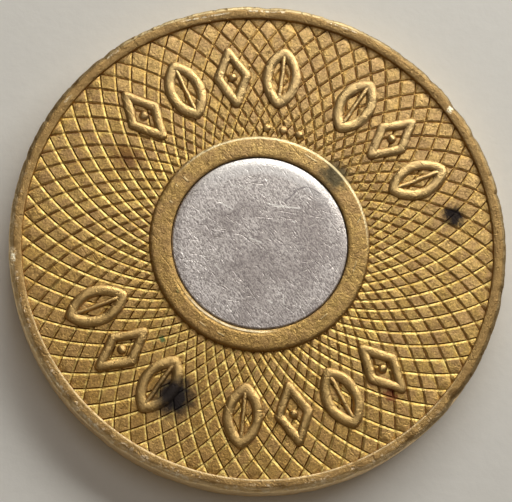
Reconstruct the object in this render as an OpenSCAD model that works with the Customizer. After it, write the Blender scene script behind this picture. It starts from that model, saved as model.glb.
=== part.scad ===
// Two-metal fare token: a brass ring struck around a steel centre plug.
// The axis is Z. The token lies on its reverse rim at z = 0, and its obverse faces +Z.
// Both faces carry a raised rim, a sunk field, a raised collar and a band of leaf ornament.

/* [Token] */
// Outside diameter of the token
token_d = 22.2; // [20:0.1:26]
// Thickness over the two raised rims
token_t = 2.0; // [1.8:0.05:2.6]

/* [Rim and field] */
// Width of the raised rim, from the field to the edge of the token
rim_w = 0.61; // [0.45:0.01:0.9]
// Radius that rounds the corners of the rim
rim_round = 0.16; // [0.1:0.01:0.2]
// Depth of the field below the rim
field_drop = 0.21; // [0.15:0.01:0.3]

/* [Collar] */
// Outside diameter of the raised collar around the plug
collar_d = 9.8; // [9:0.1:10.2]
// Depth of the collar's crown below the rim
collar_drop = 0.03; // [0:0.01:0.1]
// Radius that rounds the corners of the collar
collar_round = 0.12; // [0.08:0.01:0.2]

/* [Plug] */
// Diameter of the steel plug, which is also the bore of the brass ring
plug_d = 7.9; // [7:0.1:8.2]
// Depth of the plug's face below the rim
plug_drop = 0.05; // [0.02:0.01:0.2]
// Radius that rounds the corners of the plug
plug_round = 0.1; // [0.05:0.01:0.2]
// Radius of the brass bead that locks into the plug's edge groove
bead_r = 0.25; // [0.15:0.01:0.35]
// Height by which the bead stands into the plug
bead_depth = 0.15; // [0.08:0.01:0.25]

/* [Ornament] */
// Radius of the circle through the middles of the leaves and lozenges
band_r = 7.8; // [7.4:0.05:8.1]
// Length of a leaf, measured along the token's radius
leaf_len = 2.9; // [2.5:0.1:3.2]
// Width of a leaf
leaf_w = 1.8; // [1.5:0.05:1.9]
// Width of the raised line that a leaf or a lozenge is drawn with
stroke_w = 0.46; // [0.3:0.01:0.5]
// Angle between neighbouring ornaments of one group
leaf_pitch = 16.5; // [15:0.5:18]
// Height of the ornament above the field
leaf_h = 0.15; // [0.08:0.01:0.15]
// Radius of a pellet
pellet_r = 0.2; // [0.12:0.01:0.25]
// Radius of the circle through the row of small pellets beside the collar
pellet_row_r = 5.35; // [5.3:0.05:5.5]

/* [Hidden] */
$fn = 96;

token_r = token_d / 2;
collar_r = collar_d / 2;
plug_r = plug_d / 2;
field_t = token_t - 2 * field_drop;
bead_centre_r = plug_r + bead_r - bead_depth;

// How far the ornament is rooted below the surface of the field
root = 0.1;
// Length that an outline's stroke takes off a leaf and off a lozenge, in stroke widths.
// It is over 2 because the stroke crosses the sharp points at a slant.
leaf_points = 3.2;
lozenge_points = 4;
// Width of a leaf's midrib, and height of the small pellets
rib_w = stroke_w / 2;
small_pellet_h = leaf_h / 2;
// Each group of ornaments: the direction of its middle and how many it holds
groups = [[106.9, 4], [39.1, 3], [218.5, 3], [288.7, 4]];
// The row of small pellets: the direction of its middle, its count and its spacing
pellet_row = [78, 3, 8];

// A rectangle with its four corners rounded, from [x, y], drawn in exact arcs
module round_box(x, y, w, h, r) {
    translate([x + r, y]) square([w - 2 * r, h]);
    translate([x, y + r]) square([w, h - 2 * r]);
    for (cx = [x + r, x + w - r], cy = [y + r, y + h - r]) {
        translate([cx, cy]) circle(r);
    }
}

// The round bead in section, centred on the token's middle plane
module bead_section() {
    translate([bead_centre_r, token_t / 2]) circle(bead_r);
}

// Half section of the brass ring: web, rim, collar and locking bead
module ring_section() {
    translate([plug_r, field_drop]) square([token_r - rim_w / 2 - plug_r, field_t]);
    round_box(token_r - rim_w, 0, rim_w, token_t, rim_round);
    round_box(plug_r, collar_drop, collar_r - plug_r, token_t - 2 * collar_drop, collar_round);
    bead_section();
}

// Half section of the plug, with the groove that the bead fills
module plug_section() {
    difference() {
        union() {
            translate([0, plug_drop]) square([plug_r - plug_round, token_t - 2 * plug_drop]);
            translate([0, plug_drop + plug_round])
                square([plug_r, token_t - 2 * (plug_drop + plug_round)]);
            for (y = [plug_drop + plug_round, token_t - plug_drop - plug_round]) {
                translate([plug_r - plug_round, y]) circle(plug_round);
            }
        }
        bead_section();
    }
}

// A pointed oval, len long and w wide, made where two circles cross
module lens(len, w) {
    r = (len * len + w * w) / (4 * w);
    intersection() {
        translate([0, r - w / 2]) circle(r);
        translate([0, w / 2 - r]) circle(r);
    }
}

// A four-sided figure with its points on the two axes
module lozenge(len, w) {
    polygon([[len / 2, 0], [0, w / 2], [-len / 2, 0], [0, -w / 2]]);
}

// A leaf drawn as a raised outline with a midrib
module leaf() {
    difference() {
        lens(leaf_len, leaf_w);
        lens(leaf_len - leaf_points * stroke_w, leaf_w - 2 * stroke_w);
    }
    square([leaf_len - 2 * stroke_w, rib_w], center = true);
}

// A lozenge drawn as a raised outline around a pellet
module framed_lozenge() {
    difference() {
        lozenge(leaf_len, leaf_w);
        lozenge(leaf_len - lozenge_points * stroke_w, leaf_w - 2 * stroke_w);
    }
    circle(pellet_r);
}

// One group of ornaments: leaves and lozenges by turns, spread about one direction
module group(middle, count) {
    for (i = [0 : count - 1]) {
        rotate(middle + (i - (count - 1) / 2) * leaf_pitch)
            translate([band_r, 0])
                if (i % 2 == 0) leaf();
                else framed_lozenge();
    }
}

// The row of three small pellets between the band and the collar
module small_pellets() {
    for (i = [0 : pellet_row[1] - 1]) {
        rotate(pellet_row[0] + (i - (pellet_row[1] - 1) / 2) * pellet_row[2])
            translate([pellet_row_r, 0])
                circle(pellet_r);
    }
}

// Everything that stands on the field of one face, in the token's lower frame:
// the field is at z = 0 here and the ornament rises along +Z
module face_ornament() {
    translate([0, 0, -root])
        linear_extrude(leaf_h + root) {
            for (g = groups) {
                group(g[0], g[1]);
            }
        }
    translate([0, 0, -root])
        linear_extrude(small_pellet_h + root) small_pellets();
}

module brass_ring() {
    color([0.72, 0.56, 0.28]) {
        rotate_extrude() ring_section();
        translate([0, 0, token_t - field_drop]) face_ornament();
        translate([0, 0, field_drop]) rotate([0, 180, 0]) face_ornament();
    }
}

module steel_plug() {
    color([0.68, 0.67, 0.7]) rotate_extrude() plug_section();
}

brass_ring();
steel_plug();
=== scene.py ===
"""Looks of a two-metal fare token: a struck and worn brass ring around a steel plug, on a pale floor.

Lengths are in millimetres here and become metres when a mesh is made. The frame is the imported
model's: the axis is Z, the reverse lies on z = 0 and the obverse faces +Z.
"""
import math
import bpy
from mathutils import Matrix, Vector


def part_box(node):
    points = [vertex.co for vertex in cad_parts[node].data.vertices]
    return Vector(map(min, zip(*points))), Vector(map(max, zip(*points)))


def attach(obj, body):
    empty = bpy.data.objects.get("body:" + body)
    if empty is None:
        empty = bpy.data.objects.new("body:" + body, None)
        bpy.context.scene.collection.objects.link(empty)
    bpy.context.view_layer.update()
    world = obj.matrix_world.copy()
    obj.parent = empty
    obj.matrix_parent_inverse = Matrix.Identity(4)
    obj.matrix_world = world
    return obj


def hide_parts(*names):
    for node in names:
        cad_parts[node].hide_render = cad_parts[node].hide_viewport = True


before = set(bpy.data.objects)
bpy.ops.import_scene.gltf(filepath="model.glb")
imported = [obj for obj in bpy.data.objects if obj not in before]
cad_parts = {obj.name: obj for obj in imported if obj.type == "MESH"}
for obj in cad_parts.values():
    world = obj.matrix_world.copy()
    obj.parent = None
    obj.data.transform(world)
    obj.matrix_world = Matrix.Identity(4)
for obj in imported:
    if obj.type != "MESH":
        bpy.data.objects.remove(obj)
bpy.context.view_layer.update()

from types import SimpleNamespace

import bmesh
import bpy
from mathutils import Matrix, Vector, noise

MM = 0.001

# ------ sizes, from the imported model
ring_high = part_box("brass_ring")[1] / MM
plug_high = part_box("steel_plug")[1] / MM
TOKEN_R = ring_high.x
TOKEN_T = ring_high.z
PLUG_R = plug_high.x
PLUG_FACE_Z = plug_high.z
MID_Z = TOKEN_T / 2

# ------ sizes of the struck relief
RIM_IN_R = 10.49
COLLAR_R = 4.9
# Heights of the pads between the grooves, and of the collar's crown
PAD_Z = TOKEN_T - 0.2
CROWN_Z = TOKEN_T - 0.03

# A groove's depth, and the widths of its gentle wall and of its steep one
GROOVE_DEPTH = 0.043
GROOVE_WIDE = 0.102
GROOVE_STEEP = 0.05
# The most of a cell's width that the two walls may take
MOST_WALL = 0.44

# A pad is a little domed, and each differs in height, tilt and dent
PAD_CROWN = 0.009
PAD_LIFT = 0.012
PAD_TILT = 0.03
PAD_DENT = 0.012

# The crosshatch is a rose-engine pattern: equal circles, evenly spaced round one centre
CIRCLES = 72
CIRCLE_R = 10.39
CIRCLE_OFFSET = 9.07
PATTERN_CENTRE = Vector((0.056, -0.086))
PITCH = 360 / CIRCLES
FIRST_A = -0.3
FIRST_B = 0.52
HATCH_IN_R = 4.62
HATCH_OUT_R = 10.74
# The reverse's pads take their differences from cells this many lines away
SHIFT_U = 5
SHIFT_V = 9

# The ornament: groups of upright motifs on one circle, and three pellets beside the collar
BAND_R = 7.78
MOTIF_LEN = 2.95
MOTIF_W = 1.8
MOTIF_PITCH = 16.5
STROKE_HALF = 0.25
STROKE_RISE = 0.14
LOZENGE_STROKE_HALF = STROKE_HALF * 0.92
RIB_HALF = 0.12
RIB_RISE = STROKE_RISE * 0.85
RIB_SHARE = 0.8
PELLET_R = 0.22
# Middle direction, count and, for the small pellets, spacing
GROUPS = ((106.9, 4), (39.1, 3), (218.5, 3), (288.7, 4))
SMALL_PELLETS = (78, 3, 8)
SMALL_PELLET_R = 0.2
SMALL_PELLET_RISE = STROKE_RISE * 0.8
SMALL_PELLET_ROW_R = 5.35

# Steps round the token of the rim and the collar
ROUND_STEPS = 640


# ------ small helpers
def polar(radius, degrees):
    """A point on the XY plane from its radius and its direction."""
    angle = math.radians(degrees)
    return Vector((radius * math.cos(angle), radius * math.sin(angle)))


def hash01(*numbers):
    """A pseudo-random number from 0 to 1, always the same for the same whole numbers."""
    total = sum((k + 1) * 127.1 * n for k, n in enumerate(numbers))
    return math.sin(total + 0.37) * 43758.5453 % 1


def bell(distance, half_width):
    """1 at no distance, and next to nothing a few half widths away."""
    return math.exp(-((distance / half_width) ** 2))


def turned_from(angle, direction):
    """Degrees from a direction in degrees to an angle in radians, from -180 to 180."""
    return (math.degrees(angle) - direction + 180) % 360 - 180


def clipped(value):
    """value kept between 0 and 1."""
    return min(1.0, max(0.0, value))


def placed(name, data):
    """A new object in the scene with its data."""
    thing = bpy.data.objects.new(name, data)
    bpy.context.scene.collection.objects.link(thing)
    return thing


def make_mesh(name, points, faces):
    """A mesh object from points in millimetres, with its faces turned outwards."""
    mesh = bpy.data.meshes.new(name)
    mesh.from_pydata([tuple(c * MM for c in p) for p in points], [], faces)
    shaped = bmesh.new()
    shaped.from_mesh(mesh)
    bmesh.ops.recalc_face_normals(shaped, faces=shaped.faces)
    shaped.to_mesh(mesh)
    shaped.free()
    return placed(name, mesh)


def turned_over(points):
    """The same points on the reverse: the token turned over about its Y axis."""
    return [(-x, y, TOKEN_T - z) for x, y, z in points]


def both_sides(half):
    """A closed section from its upper half, mirrored in the token's middle plane."""
    return half + [(r, TOKEN_T - z) for r, z in reversed(half)]


def arc(centre, radius, start, steps):
    """Points along an arc in a section, from a direction in degrees to 0."""
    spots = [polar(radius, start - start * k / steps) for k in range(steps + 1)]
    return [(centre[0] + p.x, centre[1] + p.y) for p in spots]


def skin(rings, count, wrapped=True, closed=True):
    """Faces between neighbouring rings of count points.

    wrapped joins the last ring to the first, closed joins each ring's two ends.
    """
    faces = []
    for ring in range(rings if wrapped else rings - 1):
        near, far = ring * count, (ring + 1) % rings * count
        for k in range(count if closed else count - 1):
            after = (k + 1) % count
            faces.append((near + k, near + after, far + after, far + k))
    return faces


def lathe(name, section, worn):
    """A ring: a closed (radius, height) section carried round the axis and worn."""
    points = []
    for step in range(ROUND_STEPS):
        angle = 2 * math.pi * step / ROUND_STEPS
        for r, z in section:
            r, z = worn(r, z, angle)
            points.append((r * math.cos(angle), r * math.sin(angle), z))
    return make_mesh(name, points, skin(ROUND_STEPS, len(section)))


# ------ the crosshatched web
def hatch_radius(psi):
    """Radius of a pattern circle, psi degrees from the direction of its centre."""
    angle = math.radians(psi)
    across = CIRCLE_OFFSET * math.sin(angle)
    return CIRCLE_OFFSET * math.cos(angle) + math.sqrt(CIRCLE_R**2 - across**2)


def hatch_psi(radius):
    """The angle psi, in degrees, at which a pattern circle reaches a radius."""
    cosine = (radius**2 + CIRCLE_OFFSET**2 - CIRCLE_R**2) / (2 * radius * CIRCLE_OFFSET)
    return math.degrees(math.acos(cosine))


def hatch_point(u, v):
    """The point where line u of one family crosses line v of the other."""
    theta = (PITCH * (u + v) + FIRST_A + FIRST_B) / 2
    psi = (PITCH * (v - u) + FIRST_B - FIRST_A) / 2
    return polar(hatch_radius(psi), theta) + PATTERN_CENTRE


def line_gap(w):
    """Distance between neighbouring grooves of one family, at v - u = w."""
    nudge = 0.01
    psi = (PITCH * w + FIRST_B - FIRST_A) / 2
    r = hatch_radius(psi)
    ahead = hatch_radius(psi + nudge)
    slope = r * math.radians(nudge) / abs(ahead - r)
    return r * math.radians(PITCH) / math.hypot(1, slope)


# Grid lines across one cell: groove bottom, pad edge, pad middle, pad edge
CUTS = 4
PAD_MIDDLE = 2


def knot(index, w, before, after):
    """Place across the cells, in cell widths, of grid line number index where v - u is about w.

    before and after are the widths of the groove's two walls, on its lower and upper side.
    """
    gap = line_gap(w)
    squeeze = min(1.0, MOST_WALL * gap / (before + after))
    start, end = after * squeeze / gap, 1 - before * squeeze / gap
    cell, k = divmod(index, CUTS)
    return cell + (0.0, start, (start + end) / 2, end)[k]


def pad_height(cell, u, v, middle):
    """Height of a pad above its nominal top: each is a little tilted and dented."""
    seed = (cell[0] % CIRCLES, cell[1] % CIRCLES)
    lift = (hash01(*seed, 1) - 0.5) * PAD_LIFT
    tilt_u = (hash01(*seed, 2) - 0.5) * PAD_TILT
    tilt_v = (hash01(*seed, 3) - 0.5) * PAD_TILT
    dent = (hash01(*seed, 4) - 0.6) * PAD_DENT if middle else 0.0
    return lift + tilt_u * (u - cell[0] - 0.5) + tilt_v * (v - cell[1] - 0.5) + dent


def hatch_height(row, column, u, v):
    """Height of the relief at one grid point: groove bottoms, pad edges or pad tops."""
    across_u, across_v = row % CUTS, column % CUTS
    if across_u == 0 or across_v == 0:
        return PAD_Z - GROOVE_DEPTH
    edges = (across_u != PAD_MIDDLE) + (across_v != PAD_MIDDLE)
    cell = (row // CUTS, column // CUTS)
    return PAD_Z - PAD_CROWN * edges / 2 + pad_height(cell, u, v, edges == 0)


def web_points(first, columns):
    """Grid points of the crosshatch on the obverse and on the reverse."""
    upper, lower = [], []
    for row in range(CIRCLES * CUTS):
        for step in range(columns):
            column = row + first + step
            w = (first + step) / CUTS
            u = knot(row, w, GROOVE_STEEP, GROOVE_WIDE)
            v = knot(column, w, GROOVE_WIDE, GROOVE_STEEP)
            spot = hatch_point(u, v)
            z = hatch_height(row, column, u, v)
            shift_u, shift_v = SHIFT_U * CUTS, SHIFT_V * CUTS
            below = hatch_height(row + shift_u, column + shift_v, u + SHIFT_U, v + SHIFT_V)
            upper.append((spot.x, spot.y, z))
            lower.append((spot.x, spot.y, TOKEN_T - below))
    return upper, lower


def web_faces(first, columns):
    """Faces between the grid points, with three corners at the slanting borders."""
    rows = CIRCLES * CUTS

    def number(row, column):
        step = column - row - first
        return row % rows * columns + step if 0 <= step < columns else None

    faces = []
    for row in range(rows):
        for column in range(row + first - 1, row + first + columns + 1):
            corners = [number(row + a, column + b) for a, b in ((0, 0), (1, 0), (1, 1), (0, 1))]
            faces.append([c for c in corners if c is not None])
    return [f for f in faces if len(f) > 2]


def crosshatched_web():
    """The ring's web, with grooves along the pattern circles on both faces."""
    psi_low, psi_high = hatch_psi(HATCH_OUT_R), hatch_psi(HATCH_IN_R)
    first = round((2 * psi_low - FIRST_B + FIRST_A) / PITCH * CUTS)
    last = round((2 * psi_high - FIRST_B + FIRST_A) / PITCH * CUTS)
    columns = last - first + 1
    upper, lower = web_points(first, columns)
    return close_slab("web", upper, lower, web_faces(first, columns))


def close_slab(name, upper, lower, faces):
    """A closed slab from one list of faces, used for its top and its bottom."""
    count = len(upper)
    half_edges = {(f[k - 1], f[k]) for f in faces for k in range(len(f))}
    border = [(a, b) for a, b in sorted(half_edges) if (b, a) not in half_edges]
    below = [[count + c for c in reversed(f)] for f in faces]
    walls = [(b, a, count + a, count + b) for a, b in border]
    return make_mesh(name, upper + lower, faces + below + walls)


# ------ rim and collar
RIM_NICKS = (
    # direction, half width in degrees, depth
    (35.7, 1.5, 0.13),
    (181.3, 0.8, 0.1),
    (-39.6, 1.8, 0.16),
    (-54.0, 1.2, 0.12),
    (-102.5, 2.2, 0.1),
    (129.0, 1.2, 0.08),
    (88.0, 1.6, 0.09),
    (12.0, 1.0, 0.07),
    (-12.0, 1.6, 0.08),
    (207.0, 1.5, 0.1),
    (232.0, 1.0, 0.1),
    (160.0, 0.9, 0.07),
    (27.5, 1.0, 0.08),
    (44.0, 1.2, 0.08),
    (52.5, 0.8, 0.07),
    (73.0, 0.9, 0.06),
    (108.0, 1.1, 0.06),
    (-68.0, 1.3, 0.09),
    (-86.0, 1.0, 0.09),
    (-122.0, 1.2, 0.08),
    (-140.0, 0.8, 0.09),
)
# Width of the worn band along the rim's outer edge, and how strongly each kind of wear bites
WORN_WIDTH = 0.45
SLOW_WEAR = 0.045
QUICK_WEAR = 0.03
CHIPPING = 0.1
EDGE_DIP = 0.012
# Shares of the wear that go inwards and downwards
WORN_IN = 0.8
WORN_DOWN = 0.55

# A knock that dented the obverse rim's top at one place and turned its edge up
KNOCK_AT = 184.4
KNOCK_HALF_WIDTH = 1.3
KNOCK_R = TOKEN_R - 0.3
KNOCK_DENT = 0.025
KNOCK_DENT_HALF_WIDTH = 0.07
KNOCK_LIFT = 0.2
KNOCK_LIFT_FROM = 0.56

# The rim's section: its rounded corner and where that starts, its bevel, and its top's dish
RIM_CORNER = 0.12
RIM_CORNER_START = 68
RIM_BEVEL = 0.2
RIM_BEVEL_DROP = 0.049
RIM_DISH = 0.032


def knock_height(r, angle, outer, high):
    """Height that the knock gives to one point of the obverse rim."""
    lift = KNOCK_LIFT * max(0.0, outer - KNOCK_LIFT_FROM)
    tilt = lift - KNOCK_DENT * bell(r - KNOCK_R, KNOCK_DENT_HALF_WIDTH)
    return tilt * high * bell(turned_from(angle, KNOCK_AT), KNOCK_HALF_WIDTH)


def rim_wear(r, z, angle):
    """Wears the rim's outer corners: an uneven rounding, fine chips and nicks."""
    if r < TOKEN_R - WORN_WIDTH:
        return r, z
    side = 1 if z > MID_Z else -1
    x, y = 6 * math.cos(angle), 6 * math.sin(angle)
    slow = noise.noise((x, y, 3.0 * side))
    quick = noise.noise((5 * x, 5 * y, 7.0 * side))
    rough = noise.noise((17 * x, 17 * y, 11.0 * side))
    high = max(0.0, (abs(z - MID_Z) - MID_Z + WORN_WIDTH) / WORN_WIDTH)
    outer = max(0.0, (r - TOKEN_R + WORN_WIDTH) / WORN_WIDTH)
    bite = max(0.0, 0.35 + slow) * SLOW_WEAR
    bite += max(0.0, quick) * QUICK_WEAR
    bite += max(0.0, rough - 0.1) * CHIPPING
    for direction, half_width, depth in RIM_NICKS:
        bite += depth * bell(turned_from(angle, direction * side), half_width)
    worn = bite * outer * high
    edge_dip = EDGE_DIP * max(0.0, quick + 0.2) * outer
    knock = knock_height(r, angle, outer, high) if side > 0 else 0.0
    return r - worn * WORN_IN - edge_dip, z - side * worn * WORN_DOWN + knock


def struck_rim():
    """The raised rim and the token's plain edge, as one closed ring."""
    corner_rise = RIM_CORNER * math.sin(math.radians(RIM_CORNER_START))
    corner = (TOKEN_R - RIM_CORNER, TOKEN_T - RIM_BEVEL_DROP - corner_rise)
    dish = TOKEN_T - RIM_DISH
    # From the root of the inner wall, over the dished top, to the bevel
    half = [
        (RIM_IN_R - 0.03, PAD_Z - 0.2),
        (RIM_IN_R + 0.01, PAD_Z),
        (RIM_IN_R + 0.025, dish - 0.05),
        (RIM_IN_R + 0.04, dish - 0.02),
        (RIM_IN_R + 0.085, dish),
        (RIM_IN_R + 0.2, TOKEN_T - RIM_DISH * 0.62),
        (RIM_IN_R + 0.32, TOKEN_T - RIM_DISH * 0.2),
        (TOKEN_R - RIM_BEVEL, TOKEN_T),
    ]
    half += arc(corner, RIM_CORNER, RIM_CORNER_START, 5)
    half += [(TOKEN_R, MID_Z + 0.45), (TOKEN_R, MID_Z + 0.12)]
    return lathe("rim", both_sides(half), rim_wear)


# The collar's inner lip is rolled over the plug on one side
ROLLED_SIDE = 238
ROLLED_HALF_SPAN = 42
ROLLED_WIDTH = 0.24
ROLLED_DROP = 0.075
ROLLED_RIDGE = 0.018

# The bead: how far it stands into the plug, and half its height at its foot and at its tip
BEAD_DEPTH = 0.1
BEAD_FOOT_HALF = 0.23
BEAD_TIP_HALF = 0.12
# How far below the crown the collar's wear reaches
COLLAR_WEAR_REACH = 0.3


def collar_wear(r, z, angle):
    """Lets the collar's crown and corners waver a little."""
    side = 1 if z > MID_Z else -1
    x, y = 3 * math.cos(angle), 3 * math.sin(angle)
    slow = noise.noise((x, y, 5.0 * side + r))
    quick = noise.noise((9 * x, 9 * y, 9.0 * side + 2 * r))
    high = max(0.0, (abs(z - MID_Z) - MID_Z + COLLAR_WEAR_REACH) / COLLAR_WEAR_REACH)
    sunk = 0.012 * max(0.0, slow + 0.3) + 0.008 * max(0.0, quick)
    away = turned_from(angle, ROLLED_SIDE * side)
    near_bore = max(0.0, 1 - (r - PLUG_R) / ROLLED_WIDTH)
    lip = ROLLED_DROP * near_bore**1.2 + ROLLED_RIDGE * math.sin(3 * math.pi * near_bore)
    rolled = math.exp(-((away / ROLLED_HALF_SPAN) ** 4)) * lip
    return r, z - side * high * (sunk + rolled)


def struck_collar():
    """The raised collar round the bore, with the bead that locks into the plug's edge."""
    half = [
        (COLLAR_R + 0.05, PAD_Z - 0.2),
        (COLLAR_R + 0.03, PAD_Z),
        (COLLAR_R + 0.005, CROWN_Z - 0.085),
        (COLLAR_R - 0.03, CROWN_Z - 0.04),
        (COLLAR_R - 0.11, CROWN_Z - 0.007),
        (COLLAR_R - 0.2, CROWN_Z),
    ]
    # Points close together beside the bore, for the rolled lip
    half += [(PLUG_R + out, CROWN_Z) for out in (0.36, 0.3, 0.26, 0.22, 0.18)]
    half += [
        (PLUG_R + 0.13, CROWN_Z - 0.006),
        (PLUG_R + 0.08, CROWN_Z - 0.012),
        (PLUG_R + 0.035, CROWN_Z - 0.024),
        (PLUG_R + 0.01, CROWN_Z - 0.04),
        (PLUG_R, CROWN_Z - 0.07),
    ]
    half += [(PLUG_R, MID_Z + BEAD_FOOT_HALF), (PLUG_R - BEAD_DEPTH, MID_Z + BEAD_TIP_HALF)]
    return lathe("collar", both_sides(half), collar_wear)


# ------ ornament
# A stroke's section, with heights as shares of its rise: its widest line lies a little below the
# pads, its crown above that line and its underside below it
SECTION_POINTS = 16
STROKE_MIDDLE_DROP = 0.15
STROKE_CROWN = 1.15
STROKE_UNDER = 0.9
# A power below 1, which flattens the crown
FLAT_TOP = 0.75
# Sections in a stroke's round end, and where the first one stands
CAP_RINGS = 3
CAP_START = 0.35


def stroke_sections(path, half_width):
    """The sections of a round-ended bar, as (middle, direction, size)."""
    turns = [math.pi / 2 * (k + CAP_START) / CAP_RINGS for k in range(CAP_RINGS)]
    start_dir = (path[0] - path[1]).normalized()
    end_dir = (path[-1] - path[-2]).normalized()
    sections = []
    for turn in turns:
        spot = path[0] + start_dir * half_width * math.cos(turn)
        sections.append((spot, -start_dir, math.sin(turn)))
    for k, spot in enumerate(path):
        ahead = path[min(k + 1, len(path) - 1)] - path[max(k - 1, 0)]
        sections.append((spot, ahead.normalized(), 1.0))
    for turn in reversed(turns):
        spot = path[-1] + end_dir * half_width * math.cos(turn)
        sections.append((spot, end_dir, math.sin(turn)))
    return sections


def stroke(path, half_width, rise):
    """A flattened, round-ended bar along a path, half of it sunk in the web."""
    sections = stroke_sections(path, half_width)
    middle_z = PAD_Z - rise * STROKE_MIDDLE_DROP
    points = []
    for spot, direction, size in sections:
        side = Vector((-direction.y, direction.x))
        for k in range(SECTION_POINTS):
            turn = 2 * math.pi * k / SECTION_POINTS
            across = spot + side * half_width * size * math.cos(turn)
            if k <= SECTION_POINTS / 2:
                tall = rise * STROKE_CROWN * size * max(0.0, math.sin(turn)) ** FLAT_TOP
            else:
                tall = rise * STROKE_UNDER * size * math.sin(turn)
            points.append((across.x, across.y, middle_z + tall))
    faces = skin(len(sections), SECTION_POINTS, wrapped=False)
    last = (len(sections) - 1) * SECTION_POINTS
    faces.append(tuple(reversed(range(SECTION_POINTS))))
    faces.append(tuple(range(last, last + SECTION_POINTS)))
    return points, faces


def straight(a, b, steps=8):
    """Evenly spaced points on a straight line."""
    a, b = Vector(a), Vector(b)
    return [a.lerp(b, k / steps) for k in range(steps + 1)]


def bowed(half_len, half_w, side, steps=14):
    """Points from tip to tip along one side of a pointed oval."""
    radius = (half_len**2 + half_w**2) / (2 * half_w)
    sweep = math.degrees(math.asin(half_len / radius))
    spots = [polar(radius, 90 - sweep + 2 * sweep * k / steps) for k in range(steps + 1)]
    return [Vector((p.x, side * (p.y - radius + half_w))) for p in spots]


def leaf_strokes():
    """A leaf: two bowed sides that meet in points, and a short midrib."""
    half_len, half_w = MOTIF_LEN / 2 - STROKE_HALF, MOTIF_W / 2 - STROKE_HALF
    sides = [(bowed(half_len, half_w, side), STROKE_HALF, STROKE_RISE) for side in (1, -1)]
    rib = straight((-half_len * RIB_SHARE, 0), (half_len * RIB_SHARE, 0))
    return sides + [(rib, RIB_HALF, RIB_RISE)]


def lozenge_strokes():
    """A lozenge of four straight sides around one pellet."""
    tip, side = MOTIF_LEN / 2 - STROKE_HALF, MOTIF_W / 2 - STROKE_HALF
    corners = [(tip, 0), (0, side), (-tip, 0), (0, -side)]
    sides = [straight(corners[k - 1], corners[k]) for k in range(4)]
    bars = [(path, LOZENGE_STROKE_HALF, STROKE_RISE) for path in sides]
    return bars + [pellet_stroke(PELLET_R, STROKE_RISE)]


def pellet_stroke(radius, rise):
    """A round pellet, as a very short bar."""
    return straight((-0.01, 0), (0.01, 0), 1), radius, rise


def place_strokes(strokes, radius, degrees):
    """Strokes moved from the origin out to a radius, and turned to stand upright."""
    turn = Matrix.Rotation(math.radians(degrees), 2)
    centre = polar(radius, degrees)
    return [([turn @ p + centre for p in path], half, rise) for path, half, rise in strokes]


def spread(middle, count, pitch):
    """Directions of a group of count things that stand pitch apart about a middle."""
    return [middle + (k - (count - 1) / 2) * pitch for k in range(count)]


def ornament_strokes():
    """Every stroke on one face."""
    strokes = []
    for middle, count in GROUPS:
        for k, direction in enumerate(spread(middle, count, MOTIF_PITCH)):
            motif = leaf_strokes() if k % 2 == 0 else lozenge_strokes()
            strokes += place_strokes(motif, BAND_R, direction)
    for direction in spread(*SMALL_PELLETS):
        pellet = pellet_stroke(SMALL_PELLET_R, SMALL_PELLET_RISE)
        strokes += place_strokes([pellet], SMALL_PELLET_ROW_R, direction)
    return strokes


# The most that wear moves a point of the ornament sideways and up or down
WAVER_ACROSS = 0.03
WAVER_UP = 0.022


def waver(points):
    """Makes struck and worn ornament a little uneven."""
    moved = []
    for x, y, z in points:
        dx = noise.noise((x * 2.1, y * 2.1, z + 31)) * WAVER_ACROSS
        dy = noise.noise((x * 2.1, y * 2.1, z + 57)) * WAVER_ACROSS
        dz = noise.noise((x * 3.3, y * 3.3, 83)) * WAVER_UP
        moved.append((x + dx, y + dy, z + dz))
    return moved


def raised_ornament():
    """The ornament of both faces, one closed solid for each stroke."""
    solids = []
    for number, (path, half_width, rise) in enumerate(ornament_strokes()):
        points, faces = stroke(path, half_width, rise)
        solids.append(make_mesh(f"stroke_{number}", waver(points), faces))
        solids.append(make_mesh(f"stroke_back_{number}", turned_over(waver(points)), faces))
    return solids


# ------ joining and finishing meshes
def join_solids(base, others, name):
    """One closed solid out of several that overlap. The parts are removed."""
    group = bpy.data.collections.new(name + "_parts")
    bpy.context.scene.collection.children.link(group)
    for thing in others:
        group.objects.link(thing)
    union = base.modifiers.new("join", "BOOLEAN")
    union.operation = "UNION"
    union.solver = "MANIFOLD"
    union.operand_type = "COLLECTION"
    union.collection = group
    graph = bpy.context.evaluated_depsgraph_get()
    mesh = bpy.data.meshes.new_from_object(base.evaluated_get(graph), depsgraph=graph)
    mesh.name = name
    for thing in [base, *others]:
        bpy.data.objects.remove(thing)
    bpy.data.collections.remove(group)
    return placed(name, mesh)


def smooth(thing, sharp_angle):
    """Smooth shading that stays crisp at edges sharper than an angle in degrees."""
    mesh = thing.data
    mesh.polygons.foreach_set("use_smooth", [True] * len(mesh.polygons))
    mesh.set_sharp_from_angle(angle=math.radians(sharp_angle))


# Two faces of the crosshatch that meet at more than this angle share a sharp edge
CRISP_COSINE = math.cos(math.radians(7))
# Heights above the pads between which the crosshatch lies, and where ornament begins
HATCH_LOW = -0.08
HATCH_HIGH = 0.022
ORNAMENT_LOW = 0.03


def in_field(x, y):
    """Whether a point lies between the collar and the rim."""
    return COLLAR_R < math.hypot(x, y) < RIM_IN_R


def above_pads(z):
    """Height of a point above the pads of the face that it is on."""
    return abs(z - MID_Z) - (PAD_Z - MID_Z)


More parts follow.
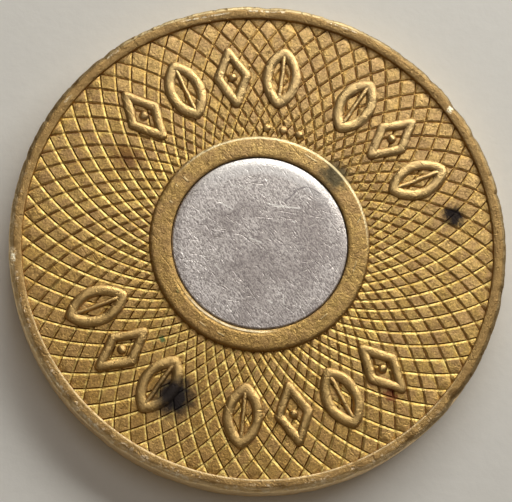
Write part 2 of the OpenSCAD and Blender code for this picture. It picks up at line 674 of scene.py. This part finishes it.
def crisp_pads(thing):
    """Marks every edge between a pad and its grooves as sharp, so that pads shade flat."""
    mesh = thing.data
    hatched = []
    for vertex in mesh.vertices:
        x, y, z = (c / MM for c in vertex.co)
        hatched.append(in_field(x, y) and HATCH_LOW < above_pads(z) < HATCH_HIGH)
    faces_at = {}
    for polygon in mesh.polygons:
        if all(hatched[k] for k in polygon.vertices):
            for key in polygon.edge_keys:
                faces_at.setdefault(key, []).append(polygon.normal)
    for edge in mesh.edges:
        sides = faces_at.get(edge.key, ())
        if len(sides) == 2 and sides[0].dot(sides[1]) < CRISP_COSINE:
            edge.use_edge_sharp = True


# Directions towards the token's upper edge, the side the key light comes from. Groove walls that
# face away from the key light's side are painted browner: painted shade.
UPPER_AXIS = (0.36, 0.93, 0.0)
LOWER_AXIS = (0.5, 0.87, 0.0)
LIT_SIDE = Vector((0.36, 0.93))
FACE_MARKS = ("pad_tone", "wall_slope", "shaded_side")
UNMARKED = (0.5, 0.0, 0.0)


def pad_tone(x, y, z):
    """The tone of a pad, from 0 to 1, shared by all its faces."""
    away = Vector((x, y)) - PATTERN_CENTRE
    theta = math.degrees(math.atan2(away.y, away.x))
    psi = hatch_psi(away.length)
    u = math.floor((theta - psi - FIRST_A) / PITCH)
    v = math.floor((theta + psi - FIRST_B) / PITCH)
    return hash01(u % CIRCLES, v % CIRCLES, 8 if z > MID_Z else 9)


def wall_slope(normal, above):
    """How steep a face is: 0 on a pad, 1 on a steep wall."""
    return clipped((0.9 - abs(normal.z)) / 0.1) if above < 0 else 0.0


def shaded_side(normal, above):
    """How far a groove wall faces away from the key light, from 0 to 1: where the brass paints shade.
    """
    across = Vector((normal.x, normal.y))
    is_wall = above < -0.01 and across.length > 0.2
    return clipped(0.5 - across.normalized().dot(LIT_SIDE)) if is_wall else 0.0


def mark_pads(thing):
    """Gives every face the three numbers that the brass reads in the crosshatch."""
    mesh = thing.data
    marks = []
    for polygon in mesh.polygons:
        x, y, z = (c / MM for c in polygon.center)
        above = above_pads(z)
        if in_field(x, y) and above <= ORNAMENT_LOW:
            normal = polygon.normal
            marks.append((pad_tone(x, y, z), wall_slope(normal, above), shaded_side(normal, above)))
        else:
            marks.append(UNMARKED)
    for name, values in zip(FACE_MARKS, zip(*marks)):
        mesh.attributes.new(name, "FLOAT", "FACE").data.foreach_set("value", list(values))


def brass_ring_piece():
    """The brass ring: web, rim, collar and ornament, as one closed solid."""
    web = crosshatched_web()
    ring = join_solids(web, [struck_rim(), struck_collar(), *raised_ornament()], "struck_brass_ring")
    smooth(ring, 34)
    crisp_pads(ring)
    mark_pads(ring)
    return ring


# ------ steel plug
PLUG_CLEARANCE = 0.015
PLUG_RINGS = 48
# The face falls a little from its middle. Its shoulder is worn down, most on one side.
PLUG_DOME = 0.02
PLUG_SHOULDER = 0.42
PLUG_FALL = 0.085
PLUG_WORN_SIDE = 82
PLUG_LEAST_WEAR = 0.15
# The groove round the edge: its depth, and half its height at its mouth and at its floor
PLUG_GROOVE_DEPTH = 0.13
PLUG_MOUTH_HALF = 0.25
PLUG_FLOOR_HALF = 0.12
# Width of the border that stays free of dents
DENT_FREE = 0.3


def plug_top(r, angle):
    """Height of the plug's face, which is nearly flat and worn down at its edge."""
    fall = max(0.0, (r - PLUG_R + PLUG_SHOULDER) / PLUG_SHOULDER)
    worn_side = 0.5 + 0.5 * math.cos(angle - math.radians(PLUG_WORN_SIDE))
    uneven = PLUG_LEAST_WEAR + (1 - PLUG_LEAST_WEAR) * worn_side
    return PLUG_FACE_Z - PLUG_DOME * (r / PLUG_R) ** 2 - PLUG_FALL * uneven * fall**1.4


def plug_half(angle):
    """The plug's upper half section in one direction, out to its edge groove."""
    shoulder = PLUG_R - PLUG_CLEARANCE
    turns = [math.pi / 2 * k / PLUG_RINGS for k in range(1, PLUG_RINGS + 1)]
    radii = [shoulder * 0.98 * math.sin(turn) for turn in turns]
    spots = [(r, plug_top(r, angle)) for r in radii]
    z = spots[-1][1]
    spots += [(shoulder - 0.03, z - 0.02), (shoulder - 0.008, z - 0.04), (shoulder, z - 0.07)]
    spots.append((shoulder, MID_Z + PLUG_MOUTH_HALF))
    spots.append((shoulder - PLUG_GROOVE_DEPTH, MID_Z + PLUG_FLOOR_HALF))
    return spots


def dented(r, z, angle):
    """Adds the plug's slow swell and shallow dents to the height of one point."""
    if r > PLUG_R - DENT_FREE:
        return z
    x, y = r * math.cos(angle), r * math.sin(angle)
    side = 1 if z > MID_Z else -1
    swell = noise.noise((x * 0.7, y * 0.7, side * 4.0)) * 0.012
    dent = max(0.0, noise.noise((x * 3.1, y * 3.1, side * 9.0)) - 0.35) * 0.03
    fade = min(1.0, (PLUG_R - DENT_FREE - r) / DENT_FREE)
    return z + side * (swell - dent) * fade


def plug_piece():
    """The steel plug as one closed disc with a groove round its edge."""
    steps = ROUND_STEPS // 2
    points = []
    for step in range(steps):
        angle = 2 * math.pi * step / steps
        below = [(r, TOKEN_T - z) for r, z in reversed(plug_half(math.pi - angle))]
        for r, z in plug_half(angle) + below:
            points.append((r * math.cos(angle), r * math.sin(angle), dented(r, z, angle)))
    count = len(points) // steps
    faces = skin(steps, count, closed=False)
    top, bottom = len(points), len(points) + 1
    points += [(0, 0, plug_top(0, 0)), (0, 0, TOKEN_T - plug_top(0, 0))]
    for step in range(steps):
        near, far = step * count, (step + 1) % steps * count
        faces.append((top, near, far))
        faces.append((bottom, far + count - 1, near + count - 1))
    plug = make_mesh("worn_steel_plug", points, faces)
    smooth(plug, 35)
    return plug


# ------ materials
MEASURES = ("LENGTH", "DISTANCE", "DOT_PRODUCT")
RANGE_ENDS = ("From Min", "From Max", "To Min", "To Max")


class Nodes:
    """Short calls that build one material's node tree. A value may be a number or a socket."""

    def __init__(self, name):
        self.material = bpy.data.materials.new(name)
        self.material.use_nodes = True
        self.tree = self.material.node_tree
        self.shader = self.tree.nodes["Principled BSDF"]
        place = self.new("TexCoord").outputs["Object"]
        self.place = self.vector("SCALE", place, scale=1 / MM)

    def new(self, kind):
        return self.tree.nodes.new("ShaderNode" + kind)

    def plug(self, socket, value):
        if isinstance(value, bpy.types.NodeSocket):
            self.tree.links.new(value, socket)
        elif value is not None:
            socket.default_value = value

    def math(self, operation, a, b=None, clamp=False):
        node = self.new("Math")
        node.operation = operation
        node.use_clamp = clamp
        self.plug(node.inputs[0], a)
        self.plug(node.inputs[1], b)
        return node.outputs[0]

    def times(self, a, b):
        return self.math("MULTIPLY", a, b)

    def plus(self, a, b, clamp=False):
        return self.math("ADD", a, b, clamp)

    def most(self, a, b):
        """The greater of two values. The first may be None."""
        return b if a is None else self.math("MAXIMUM", a, b)

    def without(self, value):
        """1 minus a value."""
        return self.math("SUBTRACT", 1.0, value)

    def vector(self, operation, a, b=None, scale=None):
        node = self.new("VectorMath")
        node.operation = operation
        self.plug(node.inputs[0], a)
        self.plug(node.inputs[1], b)
        if scale is not None:
            self.plug(node.inputs["Scale"], scale)
        return node.outputs["Value" if operation in MEASURES else "Vector"]

    def rise(self, value, low, high, bottom=0.0, top=1.0):
        """value carried from low..high to bottom..top along a smooth step."""
        node = self.new("MapRange")
        node.interpolation_type = "SMOOTHSTEP"
        for end, number in zip(RANGE_ENDS, (low, high, bottom, top)):
            self.plug(node.inputs[end], number)
        self.plug(node.inputs["Value"], value)
        return node.outputs["Result"]

    def band(self, value, start, full, fade, end):
        """1 where value lies from full to fade, and 0 below start and above end."""
        return self.times(self.rise(value, start, full), self.rise(value, fade, end, 1.0, 0.0))

    def toward(self, direction, low, high, bottom=0.0, top=1.0):
        """A smooth step across the token, from low to high along a direction."""
        along = self.vector("DOT_PRODUCT", self.place, direction)
        return self.rise(along, low, high, bottom, top)

    def from_axis(self):
        """Distance from the token's axis."""
        return self.vector("LENGTH", self.vector("MULTIPLY", self.place, (1.0, 1.0, 0.0)))

    def noise(self, scale, detail=3.0, roughness=0.5, vector=None):
        node = self.new("TexNoise")
        self.plug(node.inputs["Scale"], scale)
        self.plug(node.inputs["Detail"], detail)
        self.plug(node.inputs["Roughness"], roughness)
        self.plug(node.inputs["Vector"], vector or self.place)
        return node.outputs["Fac"]

    def attribute(self, name):
        """One of the numbers that the mesh carries for each of its faces."""
        node = self.new("Attribute")
        node.attribute_name = name
        return node.outputs["Fac"]

    def mix(self, factor, a, b):
        node = self.new("Mix")
        node.data_type = "RGBA"
        self.plug(node.inputs[0], factor)
        self.plug(node.inputs[6], (*a, 1) if isinstance(a, tuple) else a)
        self.plug(node.inputs[7], (*b, 1) if isinstance(b, tuple) else b)
        return node.outputs[2]

    def tint(self, colour, amount, strength, over):
        """colour with another laid over it, by amount times strength."""
        return self.mix(self.times(amount, strength), colour, over)

    def crevice(self, distance):
        """1 deep in a corner, 0 in the open."""
        node = self.new("AmbientOcclusion")
        node.samples = 8
        self.plug(node.inputs["Distance"], distance * MM)
        return self.without(node.outputs["AO"])

    def scratches(self, degrees, scale, stretch, low, seed):
        """Short straight scratches along one direction. A higher low leaves fewer."""
        turn = self.new("Mapping")
        self.plug(turn.inputs["Rotation"], (0, 0, math.radians(-degrees)))
        self.plug(turn.inputs["Location"], (seed, seed * 1.7, 0))
        self.plug(turn.inputs["Vector"], self.place)
        squeeze = self.vector("MULTIPLY", turn.outputs["Vector"], (1 / stretch, 1.0, 1.0))
        return self.rise(self.noise(scale, 1.0, 0.4, squeeze), low, low + 0.06)

    def mark(self, start, end, half_width):
        """1 on one straight scratch between two points, 0 off it."""
        start, end = Vector(start), Vector(end)
        along = (end - start).normalized()
        half_len = (end - start).length / 2
        middle = (start + end) / 2
        away = self.vector("SUBTRACT", self.place, (middle.x, middle.y, 0))
        lengthwise = self.math("ABSOLUTE", self.vector("DOT_PRODUCT", away, (along.x, along.y, 0)))
        sideways = self.math("ABSOLUTE", self.vector("DOT_PRODUCT", away, (-along.y, along.x, 0)))
        return self.times(
            self.rise(lengthwise, half_len * 0.7, half_len * 1.05, 1.0, 0.0),
            self.rise(sideways, half_width * 0.4, half_width, 1.0, 0.0),
        )

    def marks(self, spots):
        """1 on any of several straight scratches."""
        total = None
        for start, end, half_width in spots:
            total = self.most(total, self.mark(start, end, half_width))
        return total

    def bump(self, heights):
        """A normal from (height socket, size in millimetres) pairs."""
        normal = None
        for height, size in heights:
            node = self.new("Bump")
            self.plug(node.inputs["Distance"], size * MM)
            self.plug(node.inputs["Height"], height)
            self.plug(node.inputs["Normal"], normal)
            normal = node.outputs["Normal"]
        return normal

    def finish(self, colour, roughness, normal, metallic=0.0):
        """Joins a material's colour, roughness and normal to its shader."""
        self.plug(self.shader.inputs["Base Color"], colour)
        self.plug(self.shader.inputs["Roughness"], roughness)
        self.plug(self.shader.inputs["Normal"], normal)
        self.plug(self.shader.inputs["Metallic"], metallic)
        return self.material


STAINS = (
    # direction, radius, size, colour, strength
    (42.5, 4.6, 0.85, (0.13, 0.12, 0.08), 0.85),
    (8.6, 8.88, 0.62, (0.03, 0.026, 0.03), 0.97),
    (241.2, 7.87, 1.15, (0.03, 0.028, 0.034), 0.97),
    (146.6, 7.1, 0.75, (0.16, 0.05, 0.025), 0.6),
    (-50.0, 8.9, 0.32, (0.2, 0.02, 0.02), 0.7),
    (212.4, 4.43, 0.2, (0.03, 0.22, 0.1), 0.7),
    (225.5, 6.11, 0.2, (0.04, 0.2, 0.09), 0.7),
)


def add_stains(n, colour):
    """Lays ragged stains over a colour. Returns the colour and where the stains are."""
    ragged = n.times(n.math("SUBTRACT", n.noise(3.5, 4.0, 0.65), 0.5), 0.9)
    total = None
    for degrees, radius, size, tint, strength in STAINS:
        p = polar(radius, degrees)
        away = n.vector("DISTANCE", n.place, (p.x, p.y, PAD_Z))
        amount = n.rise(n.plus(away, ragged), size * 0.35, size * 1.15, strength, 0.0)
        colour = n.mix(amount, colour, tint)
        total = n.most(total, amount)
    return colour, total


BARE_BRASS = (0.95, 0.76, 0.42)

# Each row of a table of single marks holds a start, an end and a half width
COLLAR_DINGS = (
    ((-3.42, 2.97), (-3.18, 2.74), 0.06),
    ((-3.76, 2.62), (-3.66, 2.5), 0.04),
    ((-4.02, 1.86), (-3.88, 1.74), 0.05),
    ((2.02, 4.1), (2.62, 3.72), 0.05),
    ((-2.72, -3.6), (-2.42, -3.84), 0.04),
    ((-1.94, -4.08), (-1.62, -4.24), 0.05),
    ((2.6, -3.5), (2.95, -3.2), 0.03),
    ((4.35, 0.9), (4.6, 1.3), 0.03),
    ((4.1, -1.4), (4.3, -0.8), 0.025),
)
# Painted glints: pale marks along the rim's edge that stand in for highlights
RIM_GLINTS = (
    ((-8.75, 6.3), (-8.4, 6.7), 0.06),
    ((-6.9, 8.4), (-6.3, 8.85), 0.06),
    ((-3.6, 10.25), (-1.2, 10.75), 0.05),
    ((-0.6, 10.85), (1.4, 10.8), 0.06),
    ((3.0, 10.45), (4.6, 9.85), 0.04),
    ((-9.35, -5.7), (-8.55, -6.8), 0.07),
    ((-7.9, -7.6), (-6.9, -8.5), 0.07),
    ((-4.6, -9.95), (-3.2, -10.5), 0.05),
)
# Painted glints at two nicks in the rim
NICK_GLINTS = (
    ((8.62, 6.36), (8.86, 6.2), 0.2),
    ((-10.87, -1.0), (-10.9, -0.6), 0.13),
)


def brass_places(n):
    """Where a point of the brass lies: its radius and height, and masks from 0 to 1."""
    split = n.new("SeparateXYZ")
    n.plug(split.inputs[0], n.place)
    at = SimpleNamespace()
    at.radius = n.from_axis()
    at.height = n.math("ABSOLUTE", n.math("SUBTRACT", split.outputs["Z"], MID_Z))
    field = n.band(at.radius, COLLAR_R, COLLAR_R + 0.05, RIM_IN_R, RIM_IN_R + 0.06)
    pads = PAD_Z - MID_Z
    at.sunk = n.times(field, n.rise(at.height, pads - 0.022, pads - 0.01, 1.0, 0.0))
    at.bottom = n.times(field, n.rise(at.height, pads - 0.046, pads - 0.03, 1.0, 0.0))
    at.proud = n.times(field, n.rise(at.height, pads + 0.03, pads + 0.11))
    at.lower_side = n.toward(LOWER_AXIS, -8.0, 0.0, 1.0, 0.0)
    at.upper_side = n.toward(UPPER_AXIS, 1.0, 8.0)
    at.patches = n.rise(n.noise(3.1, 4.0, 0.7), 0.34, 0.5)
    return at


def brass_tone(n, at, patina):
    """The metal's tone: gold in patches, browner on the collar and the rim; painted light and shade
    make it browner towards the lower side and paler towards the upper side.
    """
    tone = n.rise(n.noise(0.3, 3.0, 0.6), 0.35, 0.65)
    colour = n.mix(tone, (0.60, 0.38, 0.11), (0.71, 0.47, 0.14))
    colour = n.tint(colour, patina, 0.6, (0.49, 0.29, 0.165))
    collar = n.rise(at.radius, COLLAR_R, COLLAR_R + 0.08, 1.0, 0.0)
    colour = n.tint(colour, collar, 0.4, (0.42, 0.28, 0.11))
    # Painted light and shade: browner towards the lower side and paler towards the upper side, as the
    # key light falls.
    colour = n.tint(colour, at.lower_side, 0.6, (0.56, 0.32, 0.085))
    colour = n.tint(colour, at.upper_side, 0.35, (0.80, 0.56, 0.29))
    rim = n.rise(at.radius, RIM_IN_R, RIM_IN_R + 0.08)
    colour = n.tint(colour, rim, 0.85, (0.35, 0.22, 0.085))
    colour = n.tint(colour, n.attribute("pad_tone"), 0.3, (0.78, 0.54, 0.25))
    speckle = n.rise(n.noise(9.0, 3.0, 0.7), 0.4, 0.62)
    colour = n.mix(n.rise(speckle, 0.0, 1.0, 0.5, 1.0), (0.30, 0.18, 0.07), colour)
    # Raised ornament is painted paler, and paler still towards the upper side, which is a painted
    # highlight.
    tops = n.mix(at.upper_side, (0.72, 0.50, 0.21), (0.82, 0.60, 0.29))
    return n.tint(colour, at.proud, 0.6, tops)


def groove_walls(n, at, colour):
    """Groove walls painted brighter than the pads, partly a painted highlight, with noise as painted
    sparkle; painted browner, as painted shade, towards the upper side and where they face away from
    the key light.
    """
    # Painted sparkle: noise makes the wall colour brighter in places, as highlights would.
    sparkle = n.rise(n.noise(4.5, 3.0, 0.65), 0.4, 0.62)
    wall = n.mix(sparkle, (0.70, 0.46, 0.12), (1.0, 0.80, 0.28))
    # Painted shade: browner walls towards the token's upper side, whose wide walls face away from the
    # key light.
    wall = n.tint(wall, at.upper_side, 0.7, (0.76, 0.46, 0.15))
    shade_share = n.rise(at.upper_side, 0.0, 1.0, 0.8, 0.45)
    # Painted shade: walls that face away from the key light are painted browner, less so on the upper
    # side.
    wall = n.tint(wall, n.attribute("shaded_side"), shade_share, (0.30, 0.14, 0.04))
    return n.tint(colour, at.sunk, 0.9, wall)


def brass_dirt_and_shade(n, at):
    """Dirt and painted shade, from 0 to 1: along the groove bottoms, more towards the upper side, on
    the steep walls and in deep corners.
    """
    # Painted shade in deep corners, from a crevice test, weaker at the rim.
    corners = n.rise(n.crevice(0.16), 0.3, 0.9)
    corners = n.times(corners, n.rise(at.radius, RIM_IN_R - 0.2, RIM_IN_R, 1.0, 0.35))
    # Painted shade: the groove bottoms are darker towards the upper side.
    settled = n.times(at.bottom, n.rise(at.upper_side, 0.0, 1.0, 0.35, 0.7))
    dirt = n.plus(settled, n.times(corners, 0.6))
    # Painted shade: the steep groove walls are darkened.
    return n.plus(dirt, n.times(n.attribute("wall_slope"), 0.85), clamp=True)


def rim_edges(n, at, colour):
    """A pale line along the rim's inner edge on the lower side, a painted highlight; a darker outer
    corner, painted shade; and a pale, scuffed side.
    """
    # Painted highlight: a pale line where the rim's inner edge catches the light on the lower side.
    inner = n.band(at.radius, RIM_IN_R + 0.01, RIM_IN_R + 0.04, RIM_IN_R + 0.08, RIM_IN_R + 0.12)
    nearest = n.toward((0.2, 0.98, 0.0), -7.5, -2.5, 1.0, 0.0)
    inner = n.times(inner, n.times(nearest, at.patches))
    colour = n.tint(colour, inner, 0.45, (0.98, 0.82, 0.52))
    # Painted shade: the outer corner is darkened over its highlight.
    outside = n.rise(at.radius, TOKEN_R - 0.26, TOKEN_R - 0.14)
    colour = n.tint(colour, outside, 0.9, (0.20, 0.12, 0.045))
    upright = n.rise(at.height, MID_Z - 0.3, MID_Z - 0.18, 1.0, 0.0)
    scuffed = n.rise(n.noise(2.6, 5.0, 0.75), 0.35, 0.65)
    pale = n.mix(scuffed, (0.80, 0.57, 0.27), (0.98, 0.77, 0.44))
    return n.tint(colour, outside, n.most(at.lower_side, upright), pale)


def collar_edges(n, at, colour):
    """The collar's outer edge towards the upper side and its rolled lip on the lower side, painted
    brighter: painted highlights where these edges catch the light.
    """
    # Painted highlight on the collar's outer edge, towards the upper side.
    edge = n.band(at.radius, COLLAR_R - 0.15, COLLAR_R - 0.1, COLLAR_R - 0.02, COLLAR_R + 0.02)
    edge = n.times(edge, n.toward(UPPER_AXIS, 1.0, 3.5))
    colour = n.tint(colour, edge, 0.85, (0.98, 0.86, 0.55))
    # Painted highlight on the rolled lip beside the plug, on the lower side.
    lip = n.band(at.radius, PLUG_R + 0.02, PLUG_R + 0.07, PLUG_R + 0.1, PLUG_R + 0.17)
    lip = n.times(lip, n.toward((-0.4, -0.92, 0.0), 3.3, 3.95))
    return n.tint(colour, lip, 0.8, (1.0, 0.88, 0.62))


def bare_spots(n, at, colour):
    """Bare metal on the rim: edge chips, strongest towards the top, which is partly a painted
    highlight; rubbed spots; and painted glints along the edge and at nicks.
    """
    edge = n.times(
        n.rise(at.radius, TOKEN_R - 0.22, TOKEN_R - 0.13),
        n.rise(at.height, MID_Z - 0.2, MID_Z - 0.12),
    )
    # Partly painted highlight: the chips are strongest towards the top, where the edge catches the
    # light.
    at_top = n.toward((-0.05, 1.0, 0.0), 8.5, 10.6, 0.3, 1.0)
    specks = n.rise(n.noise(6.0, 4.0, 0.7), 0.53, 0.6)
    chips = n.times(n.times(at.patches, at_top), n.without(at.lower_side))
    chips = n.plus(chips, n.times(specks, at.lower_side))
    bare = n.mix(at.lower_side, BARE_BRASS, (1.0, 0.85, 0.62))
    colour = n.tint(colour, n.times(edge, chips), 0.8, bare)
    rubbed = n.times(n.rise(at.radius, TOKEN_R - 0.42, TOKEN_R - 0.3), at.lower_side)
    rubbed = n.times(rubbed, n.rise(at.height, MID_Z - 0.12, MID_Z - 0.05))
    rubbed = n.times(rubbed, n.rise(n.noise(4.2, 5.0, 0.75), 0.54, 0.6))
    colour = n.tint(colour, rubbed, 0.65, (1.0, 0.83, 0.58))
    # Painted highlights: glints along the rim's edge and at two nicks.
    glints = n.times(n.marks(RIM_GLINTS), n.rise(n.noise(7.0, 3.0, 0.75), 0.42, 0.6))
    nicks = n.times(n.marks(NICK_GLINTS), n.rise(n.noise(6.0, 3.0, 0.7), 0.38, 0.5))
    return n.mix(n.most(n.times(glints, 0.75), nicks), colour, (1.0, 0.92, 0.70))


def brass_relief(n, at, dings):
    """Fine relief: worn swells, grain, pits, scratches and dings."""
    worn = n.noise(2.2, 2.0, 0.5)
    grain = n.times(n.noise(13.0, 3.0, 0.65), n.rise(at.proud, 0.0, 1.0, 1.0, 0.65))
    pits = n.rise(n.noise(5.0, 2.0, 0.5), 0.27, 0.4)
    lines = n.most(n.scratches(52, 8.0, 14, 0.64, 2.3), n.scratches(128, 7.0, 16, 0.66, 5.1))
    return n.bump(
        [(worn, 0.035), (grain, 0.027), (pits, 0.01), (n.without(lines), 0.006), (dings, 0.02)]
    )


def brass_material():
    """Struck brass: golden where it is worn, brown in the grooves, toned in patches."""
    n = Nodes("struck_brass")
    at = brass_places(n)
    patina = n.rise(n.noise(1.3, 5.0, 0.68), 0.42, 0.62)
    dirt_and_shade = brass_dirt_and_shade(n, at)
    dings = n.marks(COLLAR_DINGS)
    colour = groove_walls(n, at, brass_tone(n, at, patina))
    # The dirt and the painted shade darken to a deep brown.
    colour = n.mix(dirt_and_shade, colour, (0.13, 0.035, 0.006))
    colour, stained = add_stains(n, colour)
    colour = n.tint(colour, dings, 0.7, BARE_BRASS)
    colour = collar_edges(n, at, rim_edges(n, at, colour))
    colour = bare_spots(n, at, colour)
    rough = n.plus(0.27, n.times(patina, 0.12))
    rough = n.plus(rough, n.times(n.noise(7.0, 2.0, 0.6), 0.16))
    rough = n.math("SUBTRACT", rough, n.times(at.proud, 0.06))
    rough = n.plus(rough, n.times(dirt_and_shade, 0.2))
    rough = n.plus(rough, n.times(stained, 0.3), clamp=True)
    return n.finish(colour, rough, brass_relief(n, at, dings), metallic=1.0)


STEEL_SCRATCHES = (
    # direction, scale, stretch, threshold, seed
    (-55, 10.0, 6, 0.66, 1.3),
    (-35, 11.0, 8, 0.68, 3.9),
    (-8, 9.0, 14, 0.7, 6.1),
    (24, 10.0, 12, 0.71, 8.7),
)
BRIGHT_SCRATCHES = (
    ((0.54, 1.68), (1.88, 1.57), 0.05),
    ((0.3, 1.78), (1.0, 1.66), 0.045),
    ((-1.89, 1.85), (-1.14, 1.46), 0.04),
    ((-1.4, 2.62), (-0.32, 2.46), 0.02),
    ((0.27, -2.6), (0.54, -2.77), 0.05),
    ((-2.05, -0.98), (-1.78, -1.32), 0.035),
    ((-0.54, 0.21), (0.11, -0.04), 0.045),
    ((0.36, 2.12), (0.46, 2.26), 0.03),
    ((1.42, 0.98), (1.6, 0.92), 0.035),
    ((1.0, -2.35), (1.02, -2.85), 0.025),
    ((-3.6, -0.1), (-3.45, -0.5), 0.03),
)
DARK_SCRATCHES = (
    ((1.08, 1.85), (1.45, 2.15), 0.055),
    ((1.43, 2.12), (1.68, 2.46), 0.06),
    ((1.64, 2.42), (2.12, 2.58), 0.055),
    ((2.08, 2.58), (2.44, 2.45), 0.035),
    ((2.4, 2.47), (2.78, 2.22), 0.035),
)


def steel_grain(n):
    """A fine grain that slants across the plug."""
    turn = n.new("Mapping")
    n.plug(turn.inputs["Rotation"], (0, 0, math.radians(55)))
    n.plug(turn.inputs["Vector"], n.place)
    return n.noise(14.0, 2.0, 0.65, n.vector("MULTIPLY", turn.outputs["Vector"], (0.35, 1.0, 1.0)))


def steel_colour(n, grain, speckle):
    """Warm grey, clouded and mottled, scratched and stained; painted lighter towards its upper left
    and its border, with a painted sheen along its upper edge and painted shade where it meets the
    collar.
    """
    # Painted light: lighter towards the upper left and towards the border, mixed into the clouding.
    slope = n.toward((-0.6, 0.6, 0.0), -3.5, 3.5)
    border = n.rise(n.from_axis(), 2.0, 3.7)
    lit = n.plus(n.times(slope, 0.2), n.times(border, 0.12))
    light = n.rise(n.plus(n.noise(0.55, 3.0, 0.6), lit), 0.46, 0.78)
    colour = n.mix(light, (0.52, 0.465, 0.445), (0.87, 0.81, 0.78))
    mottle = n.plus(n.times(grain, 0.5), n.times(speckle, 0.5))
    colour = n.mix(n.rise(mottle, 0.38, 0.6), (0.30, 0.265, 0.265), colour)
    colour = n.tint(colour, n.rise(speckle, 0.52, 0.7), 0.4, (0.80, 0.75, 0.70))
    # Painted sheen: a pale crescent along the plug's upper edge, where the light reflects.
    top_sheen = n.times(
        n.rise(n.vector("LENGTH", n.place), PLUG_R - 0.36, PLUG_R - 0.12),
        n.toward((0.13, 0.99, 0.0), 1.6, 3.5),
    )
    colour = n.tint(colour, top_sheen, 0.55, (0.93, 0.91, 0.90))
    # Painted shade where the plug meets the collar, from a crevice test.
    colour = n.mix(n.rise(n.crevice(0.2), 0.4, 0.95), colour, (0.07, 0.055, 0.04))
    colour = n.tint(colour, n.marks(BRIGHT_SCRATCHES), 0.8, (0.95, 0.92, 0.88))
    colour = n.tint(colour, n.marks(DARK_SCRATCHES), 0.6, (0.16, 0.14, 0.15))
    return add_stains(n, colour)[0]


def steel_material():
    """Worn steel: matt, with a fine slanting grain, scratches and pits."""
    n = Nodes("worn_steel")
    grain = steel_grain(n)
    speckle = n.noise(15.0, 2.0, 0.7)
    lines = None
    for row in STEEL_SCRATCHES:
        lines = n.most(lines, n.scratches(*row))
    rough = n.plus(0.33, n.times(n.rise(grain, 0.3, 0.7, 1.0, 0.0), 0.14))
    rough = n.math("SUBTRACT", rough, n.times(lines, 0.08))
    pits = n.rise(n.noise(7.0, 2.0, 0.5), 0.28, 0.42)
    relief = [(grain, 0.005), (speckle, 0.004), (pits, 0.004), (n.without(lines), 0.005)]
    return n.finish(steel_colour(n, grain, speckle), rough, n.bump(relief), metallic=1.0)


def floor_material():
    """A pale matt studio floor with a very fine tooth."""
    n = Nodes("pale_floor")
    tooth = n.noise(1.4, 4.0, 0.6)
    colour = n.mix(tooth, (0.85, 0.845, 0.83), (0.9, 0.895, 0.88))
    return n.finish(colour, 0.85, n.bump([(tooth, 0.02)]))


# ------ camera, light and floor
CAMERA_TILT = 13.94
CAMERA_SIDE = -110.0
CAMERA_DISTANCE = 83.8
CAMERA_LENS = 132.5
CAMERA_SLIDE = Vector((-0.174, -0.362))
LAMPS = (
    # name, azimuth from +X, elevation, distance, width and height in metres, watts, colour
    ("key", 61, 37, 0.15, 0.18, 0.06, 0.175, (1.0, 0.99, 0.92)),
    ("top", 72, 75, 0.6, 0.4, 0.3, 0.32, (1.0, 0.98, 0.96)),
    ("fill", 250, 60, 0.6, 0.3, 0.2, 0.055, (1.0, 0.82, 0.6)),
)
ROOM_COLOUR = (1.0, 0.8, 0.58, 1)
ROOM_STRENGTH = 0.105
FLOOR_HALF = 400


def aim_camera():
    """The camera looks down on the obverse, from a little towards its lower side."""
    tilt = math.radians(CAMERA_TILT)
    near = polar(1.0, CAMERA_SIDE)
    back = Vector((math.sin(tilt) * near.x, math.sin(tilt) * near.y, math.cos(tilt)))
    across = Vector((near.x, near.y, 0))
    level = Vector((-near.y, near.x, 0))
    leaning = math.cos(tilt) * across - math.sin(tilt) * Vector((0, 0, 1))
    right = near.x * leaning - near.y * level
    up = near.y * leaning + near.x * level
    spot = Vector((0, 0, PAD_Z)) + back * CAMERA_DISTANCE
    spot += right * CAMERA_SLIDE.x + up * CAMERA_SLIDE.y
    lens = bpy.data.cameras.new("camera")
    lens.lens = CAMERA_LENS
    lens.sensor_width = 36
    lens.clip_start = 0.005
    camera = placed("camera", lens)
    turn = Matrix((right, up, back)).transposed().to_4x4()
    camera.matrix_world = Matrix.Translation(spot * MM) @ turn
    bpy.context.scene.camera = camera


def softbox(name, azimuth, elevation, distance, width, height, watts, tint):
    """A rectangular area light that faces the token. Its lengths are in metres."""
    lamp = bpy.data.lights.new(name, "AREA")
    lamp.shape = "RECTANGLE"
    lamp.size, lamp.size_y = width, height
    lamp.energy = watts
    lamp.color = tint
    flat = polar(distance * math.cos(math.radians(elevation)), azimuth)
    spot = Vector((flat.x, flat.y, distance * math.sin(math.radians(elevation))))
    light = placed(name, lamp)
    light.visible_camera = False
    light.location = spot
    light.rotation_mode = "QUATERNION"
    light.rotation_quaternion = spot.to_track_quat("Z", "Y")


def light_studio():
    """A soft key beyond the upper edge, a weak lamp overhead, a faint fill and a dim room."""
    for lamp in LAMPS:
        softbox(*lamp)
    world = bpy.data.worlds.new("room")
    world.use_nodes = True
    background = world.node_tree.nodes["Background"]
    background.inputs["Color"].default_value = ROOM_COLOUR
    background.inputs["Strength"].default_value = ROOM_STRENGTH
    bpy.context.scene.world = world
    bpy.context.scene.view_settings.view_transform = "Standard"


def lay_floor():
    """The floor that the token lies on."""
    half = FLOOR_HALF
    corners = [(-half, -half, 0), (half, -half, 0), (half, half, 0), (-half, half, 0)]
    floor = make_mesh("floor", corners, [(0, 1, 2, 3)])
    floor.data.materials.append(floor_material())


# ------ the whole scene
def dress(piece, material, node):
    """Paints a piece, lets it ride on the body and stand for its CAD node."""
    piece.data.materials.clear()
    piece.data.materials.append(material)
    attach(piece, "root")
    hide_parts(node)


aim_camera()
light_studio()
lay_floor()
dress(brass_ring_piece(), brass_material(), "brass_ring")
dress(plug_piece(), steel_material(), "steel_plug")
